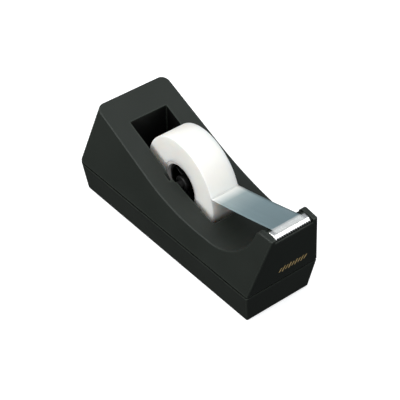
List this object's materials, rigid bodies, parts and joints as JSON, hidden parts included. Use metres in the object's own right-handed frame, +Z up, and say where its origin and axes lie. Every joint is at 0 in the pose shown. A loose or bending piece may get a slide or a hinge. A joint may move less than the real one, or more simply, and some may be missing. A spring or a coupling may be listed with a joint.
{
  "type": "desktop tape dispenser",
  "caption": "Weighted desktop tape dispenser: tapered two-shell housing with a sloping deck, tape well, lift-out hub with a roll of matte tape, and a toothed blade at the raised front.",
  "frame": {"origin": "on the table, under the middle of the bounding box", "axes": "+Z up, the blade end faces -Y, +X to the right seen from behind the roll looking along +Y"},
  "size_m": [0.0666, 0.1573, 0.0687],
  "materials": {
    "housing": "fine satin texture",
    "base": "fine satin texture",
    "ballast": "rough cast",
    "pad": "closed-cell foam",
    "screws": "zinc plated",
    "blade": "bright rolled steel",
    "hub": "satin",
    "core": "pale moulded",
    "winding": "frosted film, wound",
    "film": "frosted translucent film"
  },
  "bodies": {
    "housing": {"upper_housing": "housing", "base_shell": "base", "ballast_weight": "ballast", "nonslip_pad": "pad", "housing_screws": "screws", "cutter_blade": "blade"},
    "axle_carrier": {"hub_axle": "hub", "tape_strip": "film"},
    "reel": {"tape_hub": "hub", "tape_core": "core", "tape_roll": "winding"}
  },
  "joints": [
    {"name": "reel_lift", "type": "slide", "parent": "housing", "child": "axle_carrier", "axis": [0, 0.7071, 0.7071], "range_m": [0, 0.017]},
    {"name": "reel_spin", "type": "hinge", "parent": "axle_carrier", "child": "reel", "pos_m": [0, 0.0084, 0.03875], "axis": [1, 0, 0], "continuous": true}
  ]
}
